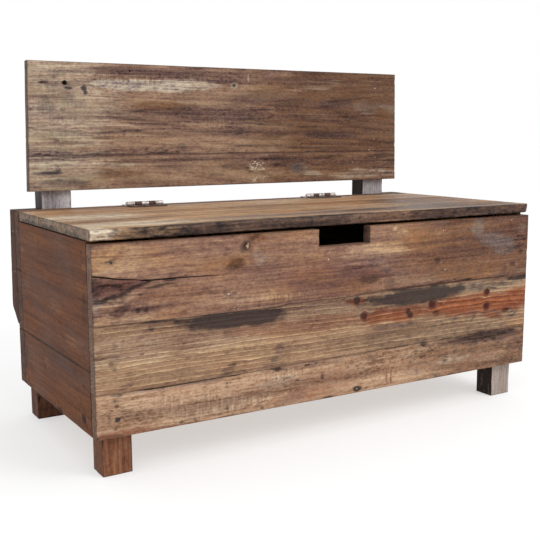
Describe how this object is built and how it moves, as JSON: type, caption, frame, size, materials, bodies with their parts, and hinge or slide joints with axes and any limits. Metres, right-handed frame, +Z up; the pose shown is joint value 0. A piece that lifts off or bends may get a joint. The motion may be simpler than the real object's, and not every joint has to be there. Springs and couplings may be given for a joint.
{
  "type": "storage bench",
  "caption": "Reclaimed-wood storage bench: a plank box on short feet, a hinged lid as its seat, a hand notch in the front and a plank backrest on rear posts.",
  "frame": {"origin": "on the floor, under the middle of the bench's overall box", "axes": "+X to the right along the bench, +Y from the front to the backrest, +Z up"},
  "size_m": [0.86, 0.417, 0.6247],
  "materials": {
    "front_boards": "worn, waxed reclaimed softwood",
    "side_boards": "dark stained reclaimed softwood",
    "back_boards": "dark reclaimed softwood",
    "lid_boards": "worn, waxed reclaimed softwood",
    "backrest_boards": "worn, waxed reclaimed softwood",
    "posts": "grey weathered softwood",
    "feet": "red-brown stained softwood",
    "inner_timber": "bare sawn softwood",
    "hinge_steel": "dull zinc plated",
    "fasteners": "dull, a little rusty"
  },
  "bodies": {
    "base": {"back_board_bottom": "back_boards", "back_board_middle": "back_boards", "back_board_top": "back_boards", "back_nails": "fasteners", "backrest_board_lower": "backrest_boards", "backrest_board_upper": "backrest_boards", "backrest_nails": "fasteners", "backrest_post_left": "posts", "backrest_post_right": "posts", "cheek_nails": "fasteners", "floor_board_1": "inner_timber", "floor_board_2": "inner_timber", "floor_board_3": "inner_timber", "floor_board_4": "inner_timber", "floor_board_5": "inner_timber", "floor_board_6": "inner_timber", "floor_board_7": "inner_timber", "floor_nails": "fasteners", "foot_screws": "fasteners", "front_batten_left": "inner_timber", "front_batten_right": "inner_timber", "front_bearer": "inner_timber", "front_board_bottom": "front_boards", "front_board_middle": "front_boards", "front_board_top": "front_boards", "front_corner_post_left": "inner_timber", "front_corner_post_right": "inner_timber", "front_foot_left": "feet", "front_foot_right": "feet", "front_nails": "fasteners", "hinge_fixed_screws": "fasteners", "left_hinge_fixed_leaf": "hinge_steel", "left_hinge_pin": "hinge_steel", "left_side_board_lower": "side_boards", "left_side_board_upper": "side_boards", "post_cheek_left": "posts", "post_cheek_right": "posts", "post_screws": "fasteners", "rear_bearer": "inner_timber", "rear_corner_post_left": "inner_timber", "rear_corner_post_right": "inner_timber", "rear_foot_left": "feet", "rear_foot_right": "feet", "right_hinge_fixed_leaf": "hinge_steel", "right_hinge_pin": "hinge_steel", "right_side_board_lower": "side_boards", "right_side_board_upper": "side_boards", "side_nails": "fasteners"},
    "lid": {"lid_batten_left": "inner_timber", "lid_batten_right": "inner_timber", "lid_board_front": "lid_boards", "lid_board_middle": "lid_boards", "lid_board_rear": "lid_boards", "lid_screws": "fasteners", "hinge_lid_screws": "fasteners", "left_hinge_lid_leaf": "hinge_steel", "right_hinge_lid_leaf": "hinge_steel"}
  },
  "joints": [
    {"name": "lid_hinge", "type": "hinge", "parent": "base", "child": "lid", "pos_m": [0, 0.141, 0.3729], "axis": [-1, 0, 0], "range_deg": [0, 95]}
  ]
}
